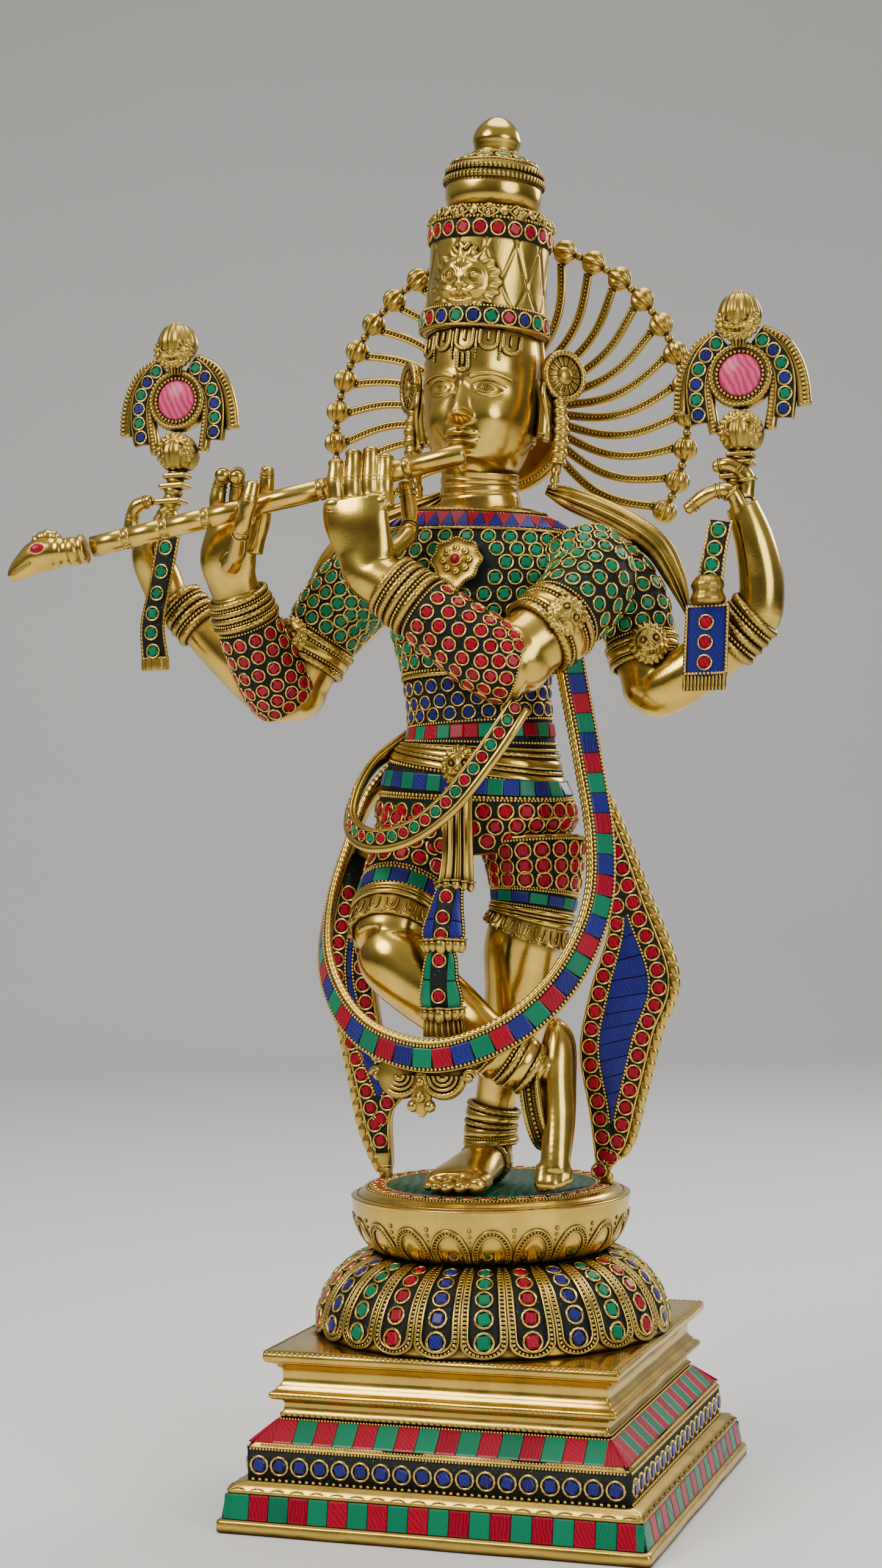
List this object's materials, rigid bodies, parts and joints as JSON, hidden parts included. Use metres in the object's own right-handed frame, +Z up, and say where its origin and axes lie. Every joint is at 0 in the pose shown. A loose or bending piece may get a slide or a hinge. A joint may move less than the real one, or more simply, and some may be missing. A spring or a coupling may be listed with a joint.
{
  "type": "temple statue of a flute player",
  "caption": "Inlaid brass temple statue: a four-armed flute player with a halo stands on a lotus seat over a stepped square pedestal.",
  "frame": {"origin": "centre of the pedestal's flat underside", "axes": "+Z up; the figure faces -Y, so its own left side is towards +X"},
  "size_m": [0.4402, 0.24, 0.7851],
  "materials": {
    "brass": "polished high points, dark patina in the recesses",
    "dark_brass": "chased and patinated",
    "malachite_inlay": "polished banded green stones in brass rings on black resin",
    "coral_inlay": "polished red stones in brass rings on black resin",
    "lapis_inlay": "polished deep blue stones in brass rings on black resin",
    "bolt_steel": "plain"
  },
  "bodies": {
    "figure": {"base_plinth": "brass", "plinth_tile_band": "coral_inlay", "lapis_band": "lapis_inlay", "sloped_tile_band": "malachite_inlay", "pedestal_block": "brass", "lotus_dome": "brass", "lotus_bowl": "brass", "seat_inlay": "malachite_inlay", "tie_bolt": "bolt_steel", "standing_leg": "brass", "crossing_leg": "brass", "left_thigh_inlay": "coral_inlay", "right_thigh_inlay": "coral_inlay", "left_knee_cuff": "dark_brass", "right_knee_cuff": "dark_brass", "standing_anklet": "dark_brass", "crossing_anklet": "dark_brass", "torso": "brass", "bodice_inlay": "malachite_inlay", "neckline_inlay": "lapis_inlay", "midriff_inlay": "lapis_inlay", "girdle": "dark_brass", "apron_pleats": "dark_brass", "upper_pendant": "lapis_inlay", "lower_pendant": "malachite_inlay", "front_right_arm": "brass", "front_left_arm": "brass", "rear_right_arm": "brass", "rear_left_arm": "brass", "front_right_sleeve_inlay": "malachite_inlay", "front_right_forearm_inlay": "coral_inlay", "front_left_sleeve_inlay": "malachite_inlay", "front_left_forearm_inlay": "coral_inlay", "rear_left_sleeve_inlay": "malachite_inlay", "front_right_hand": "brass", "front_right_bangles": "dark_brass", "front_left_hand": "brass", "front_left_bangles": "dark_brass", "rear_right_hand": "brass", "rear_right_bangles": "dark_brass", "rear_left_hand": "brass", "rear_left_bangles": "dark_brass", "right_ribbon": "malachite_inlay", "left_ribbon": "lapis_inlay", "head": "brass", "crown": "brass", "hair_bun": "brass", "right_earring": "dark_brass", "left_earring": "dark_brass", "halo": "dark_brass", "right_emblem": "brass", "left_emblem": "brass", "garland": "coral_inlay", "waist_scarf": "brass", "left_drape": "lapis_inlay", "right_drape": "lapis_inlay", "right_lock": "dark_brass", "left_lock": "dark_brass"},
    "flute": {"flute": "brass", "flute_finial": "brass"}
  },
  "joints": [
    {"name": "flute_slide", "type": "slide", "parent": "figure", "child": "flute", "axis": [-0.9616, -0.1825, -0.2048], "range_m": [0, 0.18]}
  ]
}
